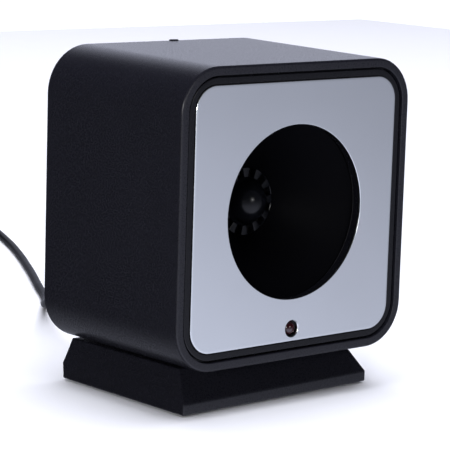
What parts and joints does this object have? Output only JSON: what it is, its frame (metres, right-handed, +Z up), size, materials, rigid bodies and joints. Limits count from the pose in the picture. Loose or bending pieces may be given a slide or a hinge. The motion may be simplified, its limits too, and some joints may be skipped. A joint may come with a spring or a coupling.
{
  "type": "ultrasonic pest repeller",
  "caption": "Square rounded housing with a round horn behind a metal front plate, on a sloping swivel pedestal, with a thin lead to a plug-in adapter.",
  "frame": {"origin": "on the table, under the middle of the housing and its switch's bounding box", "axes": "+X to the right seen from the front, +Y from the front to the back, +Z up"},
  "size_m": [0.1534, 0.38, 0.1126],
  "materials": {
    "housing_abs": "satin black ABS, fine moulded texture",
    "panel_abs": "satin black ABS",
    "plate_aluminium": "smooth silver-grey anodised",
    "tape": "foam mounting tape",
    "lamp_red": "clear dark red epoxy, unlit",
    "tinned_wire": "bright tinned copper",
    "black_nylon": "black nylon",
    "horn_abs": "smooth black ABS",
    "foam": "black foam gasket",
    "zinc_steel": "zinc-plated steel",
    "paper_cone": "doped paper cone",
    "brass": "brass",
    "fr4": "green solder mask on glass epoxy",
    "ferrite": "dark grey ferrite",
    "copper_wire": "enamelled copper winding",
    "sleeve_blue": "blue plastic sleeve on aluminium can",
    "chip_epoxy": "black moulding epoxy with tinned legs",
    "resistor_lacquer": "beige lacquer",
    "white_nylon": "natural nylon",
    "pvc_red": "red PVC insulation",
    "pvc_blue": "blue PVC insulation",
    "pvc_yellow": "yellow PVC insulation",
    "black_steel": "black zinc-plated steel",
    "acetal": "white acetal",
    "feet_rubber": "black rubber",
    "cord_pvc": "black soft PVC, satin",
    "pin_nickel": "nickel-plated brass"
  },
  "bodies": {
    "housing": {"housing_shell": "housing_abs", "front_panel": "panel_abs", "faceplate": "plate_aluminium", "faceplate_tape": "tape", "led_lens": "lamp_red", "led_leads": "tinned_wire", "led_clip": "black_nylon", "horn": "horn_abs", "horn_gasket": "foam", "horn_screws": "zinc_steel", "phase_plug": "horn_abs", "diaphragm": "paper_cone", "piezo_disc": "brass", "driver_cap": "black_nylon", "driver_tags": "brass", "main_board": "fr4", "board_screws": "zinc_steel", "transformer_core": "ferrite", "transformer_coil": "copper_wire", "capacitors": "sleeve_blue", "chips": "chip_epoxy", "resistors": "resistor_lacquer", "board_sockets": "white_nylon", "horn_wires": "pvc_red", "led_wires": "pvc_blue", "power_wires": "pvc_yellow", "back_cover": "housing_abs", "cover_screws": "black_steel", "switch_case": "black_nylon", "switch_tags": "brass", "friction_ring": "acetal", "swivel_washer": "zinc_steel", "swivel_screw": "zinc_steel", "cord_grip": "cord_pvc", "cord": "cord_pvc", "cord_coil": "cord_pvc", "cord_tie": "black_nylon", "adapter_case": "housing_abs", "adapter_pins": "pin_nickel"},
    "pedestal": {"stand": "housing_abs", "stand_feet": "feet_rubber"},
    "rocker": {"switch_rocker": "black_nylon"}
  },
  "joints": [
    {"name": "pedestal_swivel", "type": "hinge", "parent": "housing", "child": "pedestal", "pos_m": [0, 0.00202, 0.0139], "axis": [0, 0, 1], "range_deg": [-62, 58]},
    {"name": "power_rocker", "type": "hinge", "parent": "housing", "child": "rocker", "pos_m": [0.018, 0.03092, 0.0332], "axis": [0, 0, 1], "range_deg": [-18, 0]}
  ]
}
